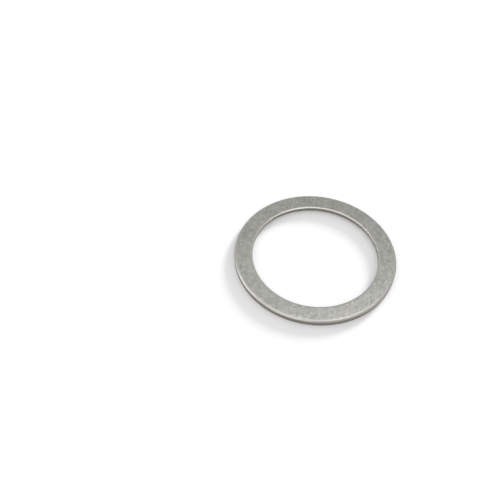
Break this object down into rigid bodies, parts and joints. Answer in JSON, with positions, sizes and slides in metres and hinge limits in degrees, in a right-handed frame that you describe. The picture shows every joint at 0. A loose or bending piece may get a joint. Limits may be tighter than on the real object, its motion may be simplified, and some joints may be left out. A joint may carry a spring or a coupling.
{
  "type": "drain plug washer",
  "caption": "Flat round metal washer that seals under a drain plug's head, stamped with rolled upper edges and a plain bore.",
  "frame": {"origin": "centre of the bore at the lower flat face, which is the face it rests on", "axes": "+Z along the bore's axis, out of the upper face with the rolled edges; X and Y are any two square directions in the rest plane"},
  "size_m": [0.026, 0.026, 0.001],
  "materials": {
    "washer_metal": "matte grey tumbled aluminium with a fine mottled skin and polished edge rolls"
  },
  "bodies": {
    "root": {"washer": "washer_metal"}
  },
  "joints": []
}
